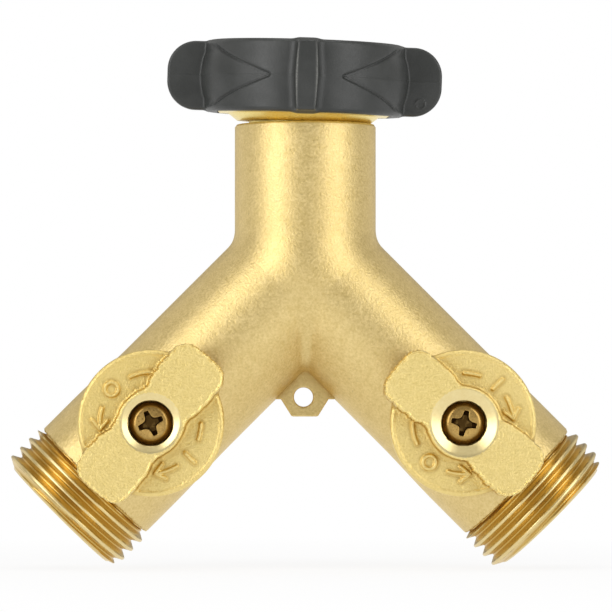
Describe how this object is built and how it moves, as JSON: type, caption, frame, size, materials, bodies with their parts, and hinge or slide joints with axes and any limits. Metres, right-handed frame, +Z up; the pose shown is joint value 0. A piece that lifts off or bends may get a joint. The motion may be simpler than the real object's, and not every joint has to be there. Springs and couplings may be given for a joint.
{
  "type": "garden hose splitter",
  "caption": "Cast brass wye for garden hoses with a swivel inlet nut in a black grip collar and a lever-operated quarter-turn ball valve on each outlet.",
  "frame": {"origin": "centre of the hose washer's top face inside the swivel nut, where the end of the tap lands", "axes": "+Z up the inlet thread's axis towards the tap, -Y towards the front with the levers, +X to the right seen from the front"},
  "size_m": [0.1056, 0.0406, 0.0933],
  "materials": {
    "cast_brass": "satin, fine sandblasted casting",
    "machined_brass": "bright turned",
    "lever_brass": "satin die-cast with a wavy parting edge",
    "black_plastic": "matt charcoal moulding",
    "rubber": "matt",
    "seat_white": "waxy white fluoropolymer",
    "ball_chrome": "polished plating",
    "ring_steel": "plain spring steel",
    "screw_bronze": "dark bronze plating"
  },
  "bodies": {
    "wye": {"wye_body": "cast_brass", "snap_ring": "ring_steel", "left_inner_seat": "seat_white", "left_outer_seat": "seat_white", "left_seat_retainer": "machined_brass", "right_inner_seat": "seat_white", "right_outer_seat": "seat_white", "right_seat_retainer": "machined_brass"},
    "swivel": {"swivel_nut": "machined_brass", "grip_collar": "black_plastic", "hose_washer": "rubber"},
    "left_valve": {"left_lever": "lever_brass", "left_lever_screw": "screw_bronze", "left_stem": "machined_brass", "left_ball": "ball_chrome", "left_thrust_washer": "seat_white", "left_stem_o_rings": "rubber"},
    "right_valve": {"right_lever": "lever_brass", "right_lever_screw": "screw_bronze", "right_stem": "machined_brass", "right_ball": "ball_chrome", "right_thrust_washer": "seat_white", "right_stem_o_rings": "rubber"}
  },
  "joints": [
    {"name": "inlet_swivel", "type": "hinge", "parent": "wye", "child": "swivel", "pos_m": [0, 0, 0], "axis": [0, 0, 1], "continuous": true},
    {"name": "left_valve_turn", "type": "hinge", "parent": "wye", "child": "left_valve", "pos_m": [-0.02708, 0, -0.05968], "axis": [0, -1, 0], "range_deg": [0, 90]},
    {"name": "right_valve_turn", "type": "hinge", "parent": "wye", "child": "right_valve", "pos_m": [0.02708, 0, -0.05968], "axis": [0, -1, 0], "range_deg": [0, 90]}
  ]
}
